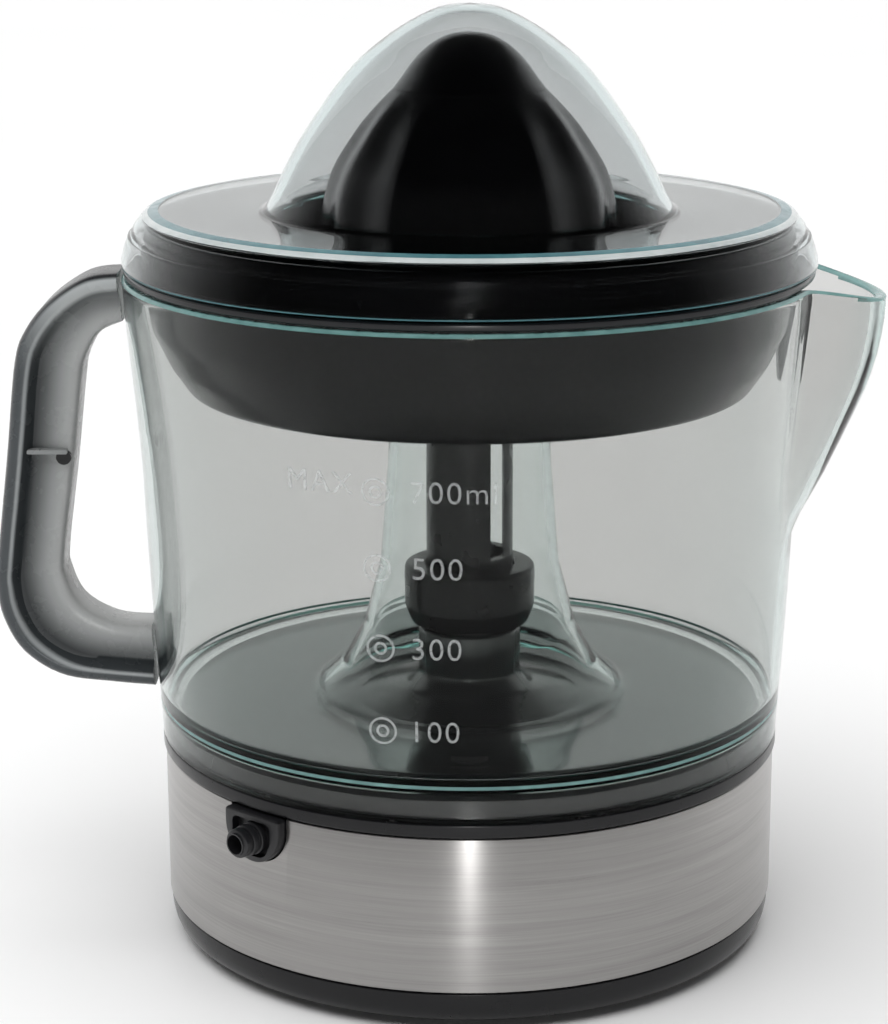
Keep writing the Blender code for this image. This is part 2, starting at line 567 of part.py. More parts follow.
# dust cover -----------------------------------------------------------------------
turned("dust_cover", [
    (0.0, COVER_TOP), (6.2, 195.7), (14.1, 191.8), (22.0, 185.8), (27.0, 180.3), (31.0, 174.8), (34.6, 169.5),
    (38.0, 163.5), (40.6, 158.4), (43.5, 155.0), (64.6, 155.5), (67.0, 154.6), (69.2, 152.2), (70.9, 149.0), (71.9, 144.3),
    (70.3, 144.3), (69.4, 148.6), (67.8, 151.6), (66.2, 153.3), (64.4, 153.8), (42.6, 153.3), (39.0, 157.4),
    (36.4, 162.7), (33.0, 168.6), (25.6, 179.0), (20.8, 184.2), (13.3, 190.2), (5.7, 193.9), (0.0, 194.8)],
    SEG_L, M_CLEAR)

# round pieces shade smooth, with sharp edges where the faces turn
for ob in parts.objects:
    if ob.type == 'MESH' and ob.data.polygons:
        ob.data.shade_smooth()
        ob.data.set_sharp_from_angle(angle=math.radians(35))
bpy.context.view_layer.update()
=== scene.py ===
"""Looks of the citrus press juicer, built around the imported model.

Heights in the profiles are millimetres above the table; lv() turns them into
the model's frame, whose origin is the flat underside, 2 mm above the table.
"""
import bpy
import bmesh
import math
from mathutils import Matrix, Vector


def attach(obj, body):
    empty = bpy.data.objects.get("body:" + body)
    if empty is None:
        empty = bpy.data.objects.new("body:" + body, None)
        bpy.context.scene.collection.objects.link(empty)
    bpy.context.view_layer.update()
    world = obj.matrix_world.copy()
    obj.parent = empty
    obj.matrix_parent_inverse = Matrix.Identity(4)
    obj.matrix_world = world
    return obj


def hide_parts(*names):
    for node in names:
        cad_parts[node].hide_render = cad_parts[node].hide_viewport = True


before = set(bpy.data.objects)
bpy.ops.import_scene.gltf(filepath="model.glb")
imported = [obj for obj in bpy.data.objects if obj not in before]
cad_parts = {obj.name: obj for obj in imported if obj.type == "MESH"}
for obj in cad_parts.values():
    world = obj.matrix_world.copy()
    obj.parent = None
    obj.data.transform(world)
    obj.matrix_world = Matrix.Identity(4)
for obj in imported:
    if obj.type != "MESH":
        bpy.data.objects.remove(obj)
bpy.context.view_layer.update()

MM = 0.001
FOOT = 2.0
TAU = 2 * math.pi


def lv(z):
    return (z - FOOT) * MM


# ---------------------------------------------------------------- mesh tools
def link(name, me, mat=None):
    ob = bpy.data.objects.new(name, me)
    bpy.context.scene.collection.objects.link(ob)
    if mat is not None:
        me.materials.clear()
        me.materials.append(mat)
    return ob


def smooth(ob, angle=35):
    ob.data.shade_smooth()
    ob.data.set_sharp_from_angle(angle=math.radians(angle))
    return ob


def fillet(points, closed=True, n=5):
    """points: (x, y) or (x, y, radius); returns the polyline with round corners"""
    out = []
    m = len(points)
    for i, p in enumerate(points):
        r = p[2] if len(p) > 2 else 0.0
        if r <= 0 or (not closed and i in (0, m - 1)):
            out.append((p[0], p[1]))
            continue
        a, b, c = Vector(points[i - 1][:2]), Vector(p[:2]), Vector(points[(i + 1) % m][:2])
        u, v = (a - b), (c - b)
        lu, lw = u.length, v.length
        u.normalize()
        v.normalize()
        ang = math.acos(max(-1, min(1, u.dot(v))))
        if ang > math.pi - 0.02:
            out.append((p[0], p[1]))
            continue
        d = min(r / math.tan(ang / 2), lu * 0.48, lw * 0.48)
        rr = d * math.tan(ang / 2)
        bis = (u + v).normalized()
        cen = b + bis * (rr / math.sin(ang / 2))
        s, e = b + u * d - cen, b + v * d - cen
        a0, a1 = math.atan2(s.y, s.x), math.atan2(e.y, e.x)
        da = (a1 - a0 + math.pi) % TAU - math.pi
        for k in range(n + 1):
            t = a0 + da * k / n
            out.append((cen.x + rr * math.cos(t), cen.y + rr * math.sin(t)))
    return out


def catmull(pts, n):
    out = []
    for i in range(len(pts) - 1):
        p0, p1, p2, p3 = pts[max(i - 1, 0)], pts[i], pts[i + 1], pts[min(i + 2, len(pts) - 1)]
        for k in range(n):
            t = k / n
            out.append(tuple(0.5 * ((2 * b) + (-a + c) * t + (2 * a - 5 * b + 4 * c - d) * t * t
                                    + (-a + 3 * b - 3 * c + d) * t ** 3) for a, b, c, d in zip(p0, p1, p2, p3)))
    out.append(tuple(pts[-1]))
    return out


def interp(table, x):
    if x <= table[0][0]:
        return table[0][1]
    for (x0, y0), (x1, y1) in zip(table, table[1:]):
        if x <= x1:
            return y0 + (y1 - y0) * (x - x0) / (x1 - x0)
    return table[-1][1]


def area2(p):
    return sum(a[0] * b[1] - b[0] * a[1] for a, b in zip(p, p[1:] + p[:1]))


def lathe(name, profile, mat, seg=160, warp=None, at=(0, 0), angle=35, absolute=False):
    """Turn a closed loop, or one that starts and ends on the axis, of (r, z) in mm."""
    pts = [tuple(p[:2]) for p in profile]
    if area2(pts) > 0:
        pts.reverse()
    poles = [i for i, p in enumerate(pts) if p[0] < 1e-9]
    closed = not poles
    if not closed:
        first = max(poles, key=lambda i: pts[i][1])
        pts = pts[first:] + pts[:first]
        if pts[1][0] < 1e-9:
            pts = pts[1:] + pts[:1]
            pts.reverse()
    bm = bmesh.new()
    rings = []
    for r, z in pts:
        zz = z * MM if absolute else lv(z)
        if r < 1e-9:
            rings.append([bm.verts.new((at[0] * MM, at[1] * MM, zz))] * seg)
            continue
        ring = []
        for k in range(seg):
            a = TAU * k / seg
            rr, z2 = r, zz
            if warp:
                rr, dz = warp(a, r, z)
                z2 = zz + dz * MM
            ring.append(bm.verts.new((at[0] * MM + rr * math.cos(a) * MM, at[1] * MM + rr * math.sin(a) * MM, z2)))
        rings.append(ring)
    pairs = list(zip(rings, rings[1:])) + ([(rings[-1], rings[0])] if closed else [])
    for up, low in pairs:
        for k in range(seg):
            j = (k + 1) % seg
            vs = []
            for v in (up[k], low[k], low[j], up[j]):
                if v not in vs:
                    vs.append(v)
            if len(vs) > 2:
                bm.faces.new(vs)
    me = bpy.data.meshes.new(name)
    bm.to_mesh(me)
    bm.free()
    return smooth(link(name, me, mat), angle)


def boolean(ob, tools, op='DIFFERENCE', angle=35):
    mat = list(ob.data.materials)
    for t in tools:
        m = ob.modifiers.new("b", 'BOOLEAN')
        m.operation, m.object, m.solver = op, t, 'EXACT'
    bpy.context.view_layer.update()
    dg = bpy.context.evaluated_depsgraph_get()
    me = bpy.data.meshes.new_from_object(ob.evaluated_get(dg))
    ob.modifiers.clear()
    old = ob.data
    ob.data = me
    bpy.data.meshes.remove(old)
    me.materials.clear()
    for x in mat:
        me.materials.append(x)
    for t in tools:
        bpy.data.objects.remove(t, do_unlink=True)
    return smooth(ob, angle)


def solid_of(outline, depth, name="tool", mat=None):
    """prism of an (x, y) outline in mm, from z = 0 to depth, in metres"""
    bm = bmesh.new()
    pts = outline if area2([tuple(p) for p in outline]) > 0 else outline[::-1]
    lo = [bm.verts.new((x * MM, y * MM, 0)) for x, y in pts]
    hi = [bm.verts.new((x * MM, y * MM, depth * MM)) for x, y in pts]
    bm.faces.new(lo[::-1])
    bm.faces.new(hi)
    for i in range(len(pts)):
        j = (i + 1) % len(pts)
        bm.faces.new((lo[i], lo[j], hi[j], hi[i]))
    me = bpy.data.meshes.new(name)
    bm.to_mesh(me)
    bm.free()
    return link(name, me, mat)


def circle(r, n=32, cx=0.0, cy=0.0):
    return [(cx + r * math.cos(TAU * k / n), cy + r * math.sin(TAU * k / n)) for k in range(n)]


# ---------------------------------------------------------------- materials
class Mat:
    def __init__(self, name):
        self.m = bpy.data.materials.new(name)
        self.m.use_nodes = True
        self.t = self.m.node_tree
        self.b = self.t.nodes["Principled BSDF"]
        self.out = self.t.nodes["Material Output"]

    def n(self, kind, **kw):
        node = self.t.nodes.new(kind)
        for k, v in kw.items():
            setattr(node, k, v)
        return node

    def l(self, a, b):
        self.t.links.new(a, b)

    def set(self, **kw):
        for k, v in kw.items():
            self.b.inputs[k.replace("_", " ")].default_value = v
        return self

    def noise(self, scale, detail=3.0, rough=0.55, vec=None):
        nz = self.n("ShaderNodeTexNoise")
        nz.inputs["Scale"].default_value = scale
        nz.inputs["Detail"].default_value = detail
        nz.inputs["Roughness"].default_value = rough
        if vec is None:
            tc = self.n("ShaderNodeTexCoord")
            vec = tc.outputs["Object"]
        self.l(vec, nz.inputs["Vector"])
        return nz.outputs["Fac"]

    def ramp(self, fac, lo, hi, p0=0.35, p1=0.65):
        r = self.n("ShaderNodeMapRange")
        r.inputs["From Min"].default_value = p0
        r.inputs["From Max"].default_value = p1
        r.inputs["To Min"].default_value = lo
        r.inputs["To Max"].default_value = hi
        self.l(fac, r.inputs["Value"])
        return r.outputs["Result"]

    def bump(self, height, strength, dist=0.0002, normal=None):
        b = self.n("ShaderNodeBump")
        b.inputs["Strength"].default_value = strength
        b.inputs["Distance"].default_value = dist
        self.l(height, b.inputs["Height"])
        if normal is not None:
            self.l(normal, b.inputs["Normal"])
        return b.outputs["Normal"]

    def colours(self, fac, c0, c1, p0=0.3, p1=0.7):
        r = self.n("ShaderNodeValToRGB")
        r.color_ramp.elements[0].position = p0
        r.color_ramp.elements[0].color = (*c0, 1)
        r.color_ramp.elements[1].position = p1
        r.color_ramp.elements[1].color = (*c1, 1)
        self.l(fac, r.inputs["Fac"])
        return r.outputs["Color"]


def moulded(name, c0, c1, rough, spread=0.05, grain=0.05, ior=1.5, coat=0.0, spec=0.5):
    m = Mat(name)
    m.set(IOR=ior)
    m.b.inputs["Specular IOR Level"].default_value = spec
    m.b.inputs["Coat Weight"].default_value = coat
    m.l(m.colours(m.noise(45, 4), c0, c1), m.b.inputs["Base Color"])
    m.l(m.ramp(m.noise(160, 4), rough - spread, rough + spread), m.b.inputs["Roughness"])
    fine = m.noise(5200, 2)
    m.l(m.bump(fine, grain, 0.00004), m.b.inputs["Normal"])
    return m.m


BLACK = moulded("black_housing", (0.005, 0.005, 0.006), (0.009, 0.009, 0.010), 0.24, 0.04, 0.10, spec=0.30)
TOPBLACK = moulded("black_top_plate", (0.055, 0.057, 0.062), (0.065, 0.067, 0.072), 0.17, 0.03, 0.0, 1.95)
GLOSS = moulded("reamer_gloss", (0.012, 0.012, 0.014), (0.016, 0.016, 0.019), 0.20, 0.04, 0.0, 1.75)
STRAIN = moulded("strainer_gloss", (0.005, 0.0055, 0.0065), (0.009, 0.010, 0.012), 0.22, 0.03, 0.0, spec=0.35)
STEM = moulded("stem_black", (0.005, 0.005, 0.006), (0.009, 0.009, 0.010), 0.24, 0.04, 0.0, spec=0.35)
RUBBER = moulded("rubber_feet", (0.014, 0.014, 0.014), (0.03, 0.03, 0.029), 0.78, 0.06, 0.5)
GLANDM = moulded("gland_black", (0.008, 0.008, 0.009), (0.015, 0.015, 0.017), 0.42, 0.06, 0.3)
POM = moulded("pom", (0.70, 0.68, 0.62), (0.78, 0.77, 0.73), 0.42, 0.05, 0.1)


def metal(name, c0, c1, rough, aniso=0.0, grain=0.1):
    m = Mat(name)
    m.set(Metallic=1.0, Anisotropic=aniso)
    m.l(m.colours(m.noise(120, 4), c0, c1), m.b.inputs["Base Color"])
    m.l(m.ramp(m.noise(600, 4), rough - 0.06, rough + 0.06), m.b.inputs["Roughness"])
    m.l(m.bump(m.noise(3000, 2), grain, 0.00003), m.b.inputs["Normal"])
    return m.m


ZINC = metal("zinc_plate", (0.50, 0.50, 0.53), (0.62, 0.62, 0.64), 0.34)
BRONZE = metal("sintered_bronze", (0.36, 0.22, 0.10), (0.48, 0.31, 0.15), 0.45, 0.0, 0.4)
CORE = metal("laminations", (0.16, 0.17, 0.19), (0.26, 0.27, 0.29), 0.5, 0.3, 0.4)
COIL = metal("copper_winding", (0.42, 0.13, 0.04), (0.55, 0.20, 0.08), 0.35, 0.0, 0.6)


def brushed_band():
    m = Mat("brushed_steel_band")
    m.set(Metallic=1.0, Anisotropic=0.9)
    m.b.inputs["Anisotropic Rotation"].default_value = 0.25
    tc = m.n("ShaderNodeTexCoord")
    sep = m.n("ShaderNodeSeparateXYZ")
    m.l(tc.outputs["Object"], sep.inputs[0])
    ang = m.n("ShaderNodeMath", operation="ARCTAN2")
    m.l(sep.outputs["Y"], ang.inputs[0])
    m.l(sep.outputs["X"], ang.inputs[1])
    # the angle round the band times the radius, stretched, with the height
    comb = m.n("ShaderNodeCombineXYZ")
    sc = m.n("ShaderNodeMath", operation="MULTIPLY")
    sc.inputs[1].default_value = 0.0655
    m.l(ang.outputs[0], sc.inputs[0])
    m.l(sc.outputs[0], comb.inputs[0])
    m.l(sep.outputs["Z"], comb.inputs[2])
    mp = m.n("ShaderNodeMapping")
    mp.inputs["Scale"].default_value = (30.0, 1.0, 2600.0)
    m.l(comb.outputs[0], mp.inputs["Vector"])
    fine = m.noise(1.0, 6, 0.65, mp.outputs[0])
    mp2 = m.n("ShaderNodeMapping")
    mp2.inputs["Scale"].default_value = (9.0, 1.0, 420.0)
    m.l(comb.outputs[0], mp2.inputs["Vector"])
    coarse = m.noise(1.0, 4, 0.6, mp2.outputs[0])
    mix = m.n("ShaderNodeMath", operation="ADD")
    m.l(fine, mix.inputs[0])
    m.l(coarse, mix.inputs[1])
    half = m.n("ShaderNodeMath", operation="MULTIPLY")
    half.inputs[1].default_value = 0.5
    m.l(mix.outputs[0], half.inputs[0])
    m.l(m.colours(half.outputs[0], (0.305, 0.296, 0.290), (0.44, 0.43, 0.42), 0.36, 0.66), m.b.inputs["Base Color"])
    m.l(m.ramp(half.outputs[0], 0.27, 0.34), m.b.inputs["Roughness"])
    tan = m.n("ShaderNodeTangent", direction_type="RADIAL", axis="Z")
    m.l(tan.outputs[0], m.b.inputs["Tangent"])
    m.l(m.bump(fine, 0.18, 0.00003), m.b.inputs["Normal"])
    return m.m


BAND = brushed_band()


def clear(name, tint, absorb, density, rough=0.02, ior=1.36):
    m = Mat(name)
    m.set(IOR=ior)
    m.b.inputs["Specular Tint"].default_value = (0.30, 0.30, 0.30, 1)
    m.b.inputs["Transmission Weight"].default_value = 1.0
    m.b.inputs["Base Color"].default_value = (*tint, 1)
    m.l(m.ramp(m.noise(90, 3), rough * 0.5, rough * 1.6), m.b.inputs["Roughness"])
    m.l(m.bump(m.noise(40, 2), 0.04, 0.0004), m.b.inputs["Normal"])
    v = m.n("ShaderNodeVolumeAbsorption")
    v.inputs["Color"].default_value = (*absorb, 1)
    v.inputs["Density"].default_value = density
    m.l(v.outputs[0], m.out.inputs["Volume"])
    return m.m


CLEAR = clear("clear_jug", (0.735, 0.708, 0.703), (0.12, 0.80, 0.72), 30.0, 0.02, 1.30)
INNER = clear("clear_jug_inner", (1.0, 0.993, 0.990), (0.12, 0.80, 0.72), 30.0, 0.02, 1.30)
COVERM = clear("clear_cover", (0.735, 0.717, 0.720), (0.12, 0.76, 0.74), 30.0, 0.02, 1.20)


def edge(name, c0, c1, rough):
    """the edges of the clear mouldings, where the tint gathers; the cover's bright edge is a painted glint"""
    m = Mat(name)
    m.set(IOR=1.45)
    m.b.inputs["Transmission Weight"].default_value = 0.35
    m.l(m.colours(m.noise(260, 3), c0, c1), m.b.inputs["Base Color"])
    m.l(m.ramp(m.noise(400, 3), rough - 0.05, rough + 0.05), m.b.inputs["Roughness"])
    return m.m


TEAL = edge("jug_edge_tint", (0.16, 0.34, 0.33), (0.24, 0.47, 0.45), 0.22)
TEALC = edge("cover_edge_tint", (0.06, 0.20, 0.24), (0.10, 0.30, 0.33), 0.20)
# painted highlight: the bright line along the cover flange's rounded outer edge
GLINT = edge("cover_painted_glint", (0.72, 0.80, 0.80), (0.88, 0.93, 0.93), 0.16)


def tint_faces(ob, mat, test):
    """give the faces whose middle passes test(r, z, x, y) in mm a second material"""
    me = ob.data
    me.materials.append(mat)
    k = len(me.materials) - 1
    for p in me.polygons:
        c = p.center
        if test(math.hypot(c.x, c.y) / MM, c.z / MM + FOOT, c.x / MM, c.y / MM):
            p.material_index = k


def handle_shading_material():
    """grey handle moulding, dark at the rolled rim and paler towards the thin inner edge: the gradient is painted
    shade and painted light, with a painted highlight line along the rim and the top bend painted lighter
    """
    m = Mat("handle_grey_painted_light")
    m.set(IOR=1.5)
    m.b.inputs["Specular IOR Level"].default_value = 0.32
    uv = m.n("ShaderNodeUVMap", uv_map="section")
    sep = m.n("ShaderNodeSeparateXYZ")
    m.l(uv.outputs[0], sep.inputs[0])
    add = m.n("ShaderNodeMath", operation="MULTIPLY_ADD")
    m.l(m.noise(70, 3), add.inputs[0])
    add.inputs[1].default_value = 0.02
    m.l(sep.outputs["X"], add.inputs[2])
    def graded(cols):
        ramp = m.n("ShaderNodeValToRGB")
        cr = ramp.color_ramp
        cr.elements[0].position, cr.elements[0].color = cols[0][0], (*cols[0][1], 1)
        cr.elements[1].position, cr.elements[1].color = cols[-1][0], (*cols[-1][1], 1)
        for pos, c in cols[1:-1]:
            e = cr.elements.new(pos)
            e.color = (*c, 1)
        m.l(add.outputs[0], ramp.inputs["Fac"])
        return ramp.outputs["Color"]
    # sides: dark outer face and painted shade beside the rolled rim, a painted highlight line at 0.215-0.235, then
    # painted light rising towards the inner edge
    side = graded([(0.025, (0.018, 0.018, 0.020)), (0.07, (0.055, 0.062, 0.067)), (0.185, (0.070, 0.079, 0.084)), (0.215, (0.36, 0.38, 0.385)),
                   (0.235, (0.36, 0.38, 0.385)), (0.265, (0.040, 0.045, 0.048)), (0.39, (0.022, 0.026, 0.028)), (0.50, (0.11, 0.118, 0.118)),
                   (0.70, (0.30, 0.31, 0.31)), (0.95, (0.47, 0.48, 0.475))])
    # top bend: a painted highlight along the rim's top-front edge and lighter greys, painted light where light falls
    # on the bend
    crown_painted_light = graded([(0.035, (0.010, 0.010, 0.012)), (0.055, (0.035, 0.038, 0.040)), (0.10, (0.36, 0.38, 0.385)), (0.24, (0.42, 0.44, 0.44)),
                    (0.32, (0.15, 0.16, 0.16)), (0.50, (0.24, 0.25, 0.25)), (0.70, (0.36, 0.37, 0.37)), (0.95, (0.50, 0.51, 0.505))])
    # the top bend's painted light fades into the sides' painted shade along the handle
    along = m.n("ShaderNodeMapRange")
    along.interpolation_type = 'SMOOTHSTEP'
    for key, val in (("From Min", 0.08), ("From Max", 0.30), ("To Min", 1.0), ("To Max", 0.0)):
        along.inputs[key].default_value = val
    m.l(sep.outputs["Y"], along.inputs["Value"])
    mix = m.n("ShaderNodeMix", data_type='RGBA')
    m.l(along.outputs["Result"], mix.inputs[0])
    m.l(side, mix.inputs[6])
    m.l(crown_painted_light, mix.inputs[7])
    m.l(mix.outputs[2], m.b.inputs["Base Color"])
    m.l(m.ramp(m.noise(160, 4), 0.22, 0.30), m.b.inputs["Roughness"])
    return m.m


HANDLE_PAINTED_LIGHT = handle_shading_material()


def marks_material():
    m = Mat("moulded_marks")
    m.set(IOR=1.45)
    m.b.inputs["Alpha"].default_value = 0.32
    m.l(m.colours(m.noise(900, 3), (0.62, 0.64, 0.64), (0.76, 0.78, 0.78)), m.b.inputs["Base Color"])
    m.l(m.ramp(m.noise(700, 3), 0.30, 0.45), m.b.inputs["Roughness"])
    return m.m


MARKS = marks_material()

# ---------------------------------------------------------------- base
lower = lathe("lower_housing", fillet([
    (0.0, 4.0), (59.6, 4.0), (61.3, 6.0), (61.3, 15.0, .4), (63.3, 15.0, .4), (63.3, 8.6), (65.2, 8.6, .35),
    (65.05, 5.8), (64.75, 4.2), (64.2, 2.9), (63.3, 2.2), (62.4, 2.0), (0.0, 2.0)]), BLACK, 180)
tools = []
for a in (20, 160, 270):
    x, y = 53 * math.cos(math.radians(a)), 53 * math.sin(math.radians(a))
    t = solid_of(circle(3.6, 28, x, y), 3.6)
    t.location.z = lv(1.0)
    tools.append(t)
for vx in (-11.5, -7.5, 7.5, 11.5):
    t = solid_of([(vx - 1, 32.5), (vx + 1, 32.5), (vx + 1, 47.5), (vx - 1, 47.5)], 8)
    t.location.z = lv(0.0)
    tools.append(t)
boolean(lower, tools)
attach(lower, "base")
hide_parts("base_bottom")

GA = math.radians(229.7)
gd = Vector((math.cos(GA), math.sin(GA), 0))
gt = Vector((-gd.y, gd.x, 0))


def gland_matrix(reach, z):
    m = Matrix.Identity(4)
    m.col[0][:3] = gt
    m.col[1][:3] = (0, 0, 1)
    m.col[2][:3] = gd
    m.col[3][:3] = gd * reach * MM + Vector((0, 0, lv(z)))
    return m


def d_outline(grow, top, n=20, r=7.35):
    pts = [(r + grow, top), (-(r + grow), top)]
    for k in range(n + 1):
        a = math.pi + math.pi * k / n
        pts.append(((r + grow) * math.cos(a), (r + grow) * math.sin(a)))
    return pts


GCZ = 38.35
band = lathe("steel_sleeve", fillet([(64.75, 41.2, .2), (65.5, 41.2, .25), (65.5, 8.9, .25), (64.75, 8.9, .2)], n=3), BAND, 240)
notch = solid_of(d_outline(0.3, 6.0), 14)
notch.matrix_world = gland_matrix(58.0, GCZ)
boolean(band, [notch])
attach(band, "base")
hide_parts("steel_band")

top = lathe("top_housing", fillet([
    (6.5, 65.3, .4), (10.9, 65.3, .6), (10.9, 55.0, 3), (13.5, 51.5, 3), (21.0, 49.9, 1), (24.0, 49.3, 2), (61.6, 49.3, .8),
    (62.5, 48.4, .5), (62.6, 44.5, .3), (66.0, 44.5, .5), (66.0, 41.5, .5), (64.3, 41.5), (64.3, 41.2), (62.3, 41.2), (62.3, 42.6),
    (60.4, 47.0), (20.0, 47.2), (8.9, 50.5), (8.9, 63.3), (6.5, 63.3)]), TOPBLACK, 200)
tint_faces(top, BLACK, lambda r, z, x, y: r > 62.7 and z < 44.7)
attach(top, "base")
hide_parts("base_top")

for i, a in enumerate((45, 135, 225, 315)):
    x, y = 48 * math.cos(math.radians(a)), 48 * math.sin(math.radians(a))
    f = lathe("rubber_foot_%d" % (i + 1), fillet([(0, 2.0), (6.9, 2.0), (7.0, 1.7, .3), (7.0, 0.4, .4), (6.4, 0.0, .4), (5.0, 0.0),
                                                  (4.6, 0.5), (0, 0.5)]), RUBBER, 48, at=(x, y))
    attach(f, "base")
    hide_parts("foot_%d" % (i + 1))

# gland
plate = solid_of(fillet([(7.35, 2.85, .8), (-7.35, 2.85, .8)] + d_outline(0, 0, 24)[2:]), 2.8, "gland_plate", GLANDM)
plate.matrix_world = gland_matrix(64.6, GCZ)
bv = plate.modifiers.new("bev", 'BEVEL')
bv.width, bv.segments, bv.limit_method, bv.angle_limit = 0.5 * MM, 3, 'ANGLE', math.radians(50)
rec = solid_of(fillet([(5.2, 1.5, 1.2), (-5.2, 1.5, 1.2), (-5.2, -2.35, 2), (-3.6, -6.0, 3), (3.6, -6.0, 3), (5.2, -2.35, 2)]), 3.5)
rec.matrix_world = gland_matrix(65.6, GCZ)
boolean(plate, [rec])
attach(plate, "base")
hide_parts("cord_gland")

prof = [(2.0, 0.4)]
for k in range(5):
    r0, z0 = 3.85 - 0.2 * k, 0.4 + 1.95 * k
    prof += fillet([(r0, z0, .2), (r0 - .1, z0 + 1.2, .3), (r0 - .75, z0 + 1.3, .15), (r0 - .78, z0 + 1.8, .15)], False, 3)
prof += [(2.0, prof[-1][1])]
sleeve = lathe("gland_grommet", prof, GLANDM, 48, absolute=True)
sleeve.matrix_world = gland_matrix(62.0, 36.0)
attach(sleeve, "base")
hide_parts("gland_sleeve")

# ---------------------------------------------------------------- drive in the chimney
coupling = lathe("coupling_collar", fillet([
    (9.5, 79.2, .3), (13.85, 79.2, .7), (13.85, 70.2, .5), (12.5, 66.5, .3), (11.5, 66.5), (11.5, 68.6), (4.3, 68.6), (4.3, 71.5),
    (9.5, 71.5)]), STEM, 96)
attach(coupling, "output")
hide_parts("drive_coupling")

stem = lathe("stem_tube", fillet([(7.4, 171.5, .3), (9.2, 171.5, .5), (9.2, 71.8, .3), (4.4, 71.8), (4.4, 78.0), (7.4, 80.0)]), STEM, 96)
slot = solid_of([(4.35, -12), (7.05, -12), (7.05, 12), (4.35, 12)], 57.5)
slot.location.z = lv(81.5)
boolean(stem, [slot])
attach(stem, "stem")
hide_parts("drive_stem")

# ---------------------------------------------------------------- reamers
RIBS = 12
CO = [(15.8, 179.2), (19.9, 175.1), (23.7, 170.3), (28.2, 163.0), (30.3, 156.0), (31.2, 150.0), (33.0, 131.0)]
co = catmull(CO, 5)
CI = [(31.2, 131.0), (29.4, 150.0), (28.0, 156.0), (25.6, 162.0), (18.9, 171.6), (14.6, 176.6)]
co_z = sorted((z, r) for r, z in co)


def flute(a, r, z):
    if 129.0 < z < 179.0 and r > interp(co_z, z) - 0.6:
        c = 0.5 - 0.5 * math.cos(RIBS * a)
        c = c ** 0.7                       # wide hollows, narrow crests
        d = 1.15 * c * min(1, max(0, (179.0 - z) / 9)) ** 0.7 * min(1, (z - 129.0) / 6)
        return r - d, 0
    return r, 0


large = lathe("reamer_large", co + fillet([(34.6, 128.2, .6), (34.6, 126.0, .4), (31.8, 126.0, .3)], False) + CI + [(14.9, 178.8), (15.5, 179.3)],
              GLOSS, 288, warp=flute, angle=50)
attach(large, "reamer")
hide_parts("cone_large")

CS = catmull([(0.0, 190.6), (3.4, 190.2), (6.6, 188.9), (9.5, 186.7), (12.2, 183.9), (14.2, 181.3), (15.62, 179.4)], 5)
small = lathe("reamer_small", CS + [(14.9, 179.3), (14.0, 178.0), (13.6, 170.0), (13.6, 144.0), (9.5, 144.0), (9.5, 172.0), (0.0, 173.5)],
              GLOSS, 120, angle=50)
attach(small, "reamer")
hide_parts("cone_small")

# ---------------------------------------------------------------- jug
JO = catmull([(71.9, 141.9), (71.3, 132.0), (70.0, 118.0), (68.9, 104.0), (68.3, 89.0), (67.2, 65.0), (66.3, 50.4), (66.0, 44.5)], 4)
JI = catmull([(64.6, 54.6), (65.2, 66.0), (66.3, 89.0), (66.9, 104.0), (68.0, 118.0), (69.3, 132.0), (69.9, 141.9)], 4)
jo_z = sorted((z, r) for r, z in JO)
SPZ = [(89.0, 68.3), (99.8, 74.8), (108.2, 78.8), (117.0, 82.8), (124.0, 85.1), (130.9, 86.35), (136.0, 86.6), (141.9, 86.6)]
WA = math.radians(21.5)
SHARE = [(0.0, 1.0), (2.5, 0.985), (5.0, 0.93), (7.5, 0.83), (10.5, 0.62), (14.2, 0.33), (18.0, 0.09), (20.0, 0.02), (21.5, 0.0)]
share = catmull([(-2.5, 0.985)] + SHARE + [(23.0, 0.0)], 8)
share = [p for p in share if 0 <= p[0] <= 21.5]


def spout_plan(a):
    """share of the spout's reach at angle a from its middle"""
    return max(0.0, min(1.0, interp(share, abs(math.degrees(a)))))


def jug_warp(a, r, z):
    a = (a + math.pi) % TAU - math.pi
    if r < 60 or z < 89.0 or abs(a) >= WA:
        return r, 0
    g = spout_plan(a)
    wall = interp(jo_z, z)
    reach = interp(SPZ, z) - wall
    push = reach * g
    if r < wall - 0.9:
        push -= 0.45 * g * min(1, reach / 8)
    dz = -4.7 * g * max(0.0, (z - 134.0) / 7.9)
    return r + push, dz


rim = fillet([(69.9, 141.9, .8), (71.9, 141.9, .8)], False)
rim_out = [(71.9, 141.2), (71.75, 141.6), (71.45, 141.9), (70.35, 141.9), (70.05, 141.6), (69.9, 141.2)]
jo_low = sorted(JO[1:-1] + [(66.37, 52.4), (66.36, 51.7)], key=lambda q: -q[1])
jug_profile = [rim_out[2], rim_out[1], rim_out[0]] + jo_low + fillet([(66.0, 44.9), (66.0, 44.5, .4), (63.9, 44.5, .4), (63.9, 50.3, .4), (61, 50.3)], False, 4) \
    + fillet([(36, 50.3), (32.0, 50.3, 4), (25.4, 56.2, 6), (20.8, 65.6, 10), (17.2, 80.0, 14), (15.4, 103.0), (15.0, 114.0, .6), (16.8, 114.0, .6),
              (17.2, 103.0), (19.0, 80.0, 14), (22.6, 66.0, 10), (27.2, 57.6, 6), (33.0, 52.6, 4), (38, 52.6)], False, 6) \
    + fillet([(60, 52.6), (63.3, 52.6, 1.6), (64.6, 54.6, 1.6), (64.7, 56)], False, 5) + JI[1:-1] + [rim_out[5], rim_out[4], rim_out[3]]
jug = lathe("jug_body", jug_profile, CLEAR, 336, warp=jug_warp, angle=40)
tint_faces(jug, TEAL, lambda r, z, x, y: z > 141.15 or (x > 60 and abs(math.atan2(y, x)) < WA and z > 141.2 - 4.7 * spout_plan(math.atan2(y, x))))
